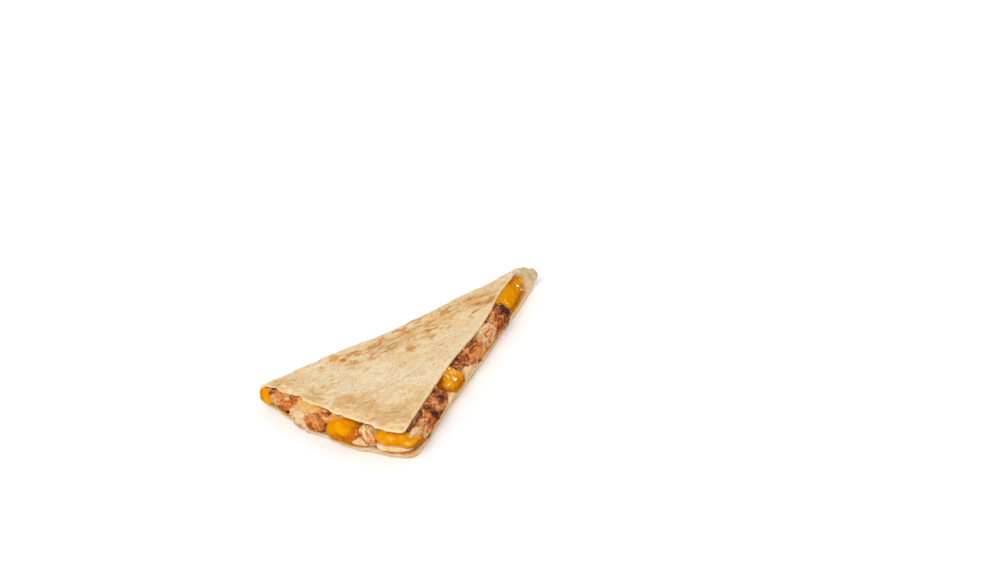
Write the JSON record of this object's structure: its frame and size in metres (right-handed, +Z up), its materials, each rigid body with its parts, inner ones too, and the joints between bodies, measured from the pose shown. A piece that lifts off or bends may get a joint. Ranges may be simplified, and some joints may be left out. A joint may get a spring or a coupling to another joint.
{
  "type": "quesadilla wedge",
  "caption": "Wedge of a folded flour tortilla with grilled chicken, melted cheese and a creamy sauce showing at its cut side and its open rim.",
  "frame": {"origin": "middle of the footprint, on the underside", "axes": "+X along the fold towards the cut side, +Y towards the fold, +Z up"},
  "size_m": [0.129, 0.0902, 0.0155],
  "materials": {
    "tortilla": "toasted flour tortilla, dry and matt",
    "cheese": "melted cheddar, oily sheen",
    "sauce": "creamy sauce, moist",
    "chicken_pale": "cooked chicken, moist",
    "chicken_browned": "browned chicken, moist",
    "chicken_charred": "charred chicken, moist"
  },
  "bodies": {
    "root": {"tortilla": "tortilla", "cream_sauce": "sauce", "melted_cheese": "cheese", "chicken_rim_1": "chicken_browned", "chicken_rim_2": "chicken_pale", "chicken_rim_3": "chicken_browned", "chicken_rim_4": "chicken_browned", "chicken_rim_5": "chicken_pale", "chicken_cut_1": "chicken_pale", "chicken_cut_2": "chicken_charred", "chicken_cut_3": "chicken_charred", "chicken_cut_4": "chicken_pale", "chicken_cut_5": "chicken_browned", "chicken_cut_6": "chicken_pale", "chicken_cut_7": "chicken_charred"}
  },
  "joints": []
}
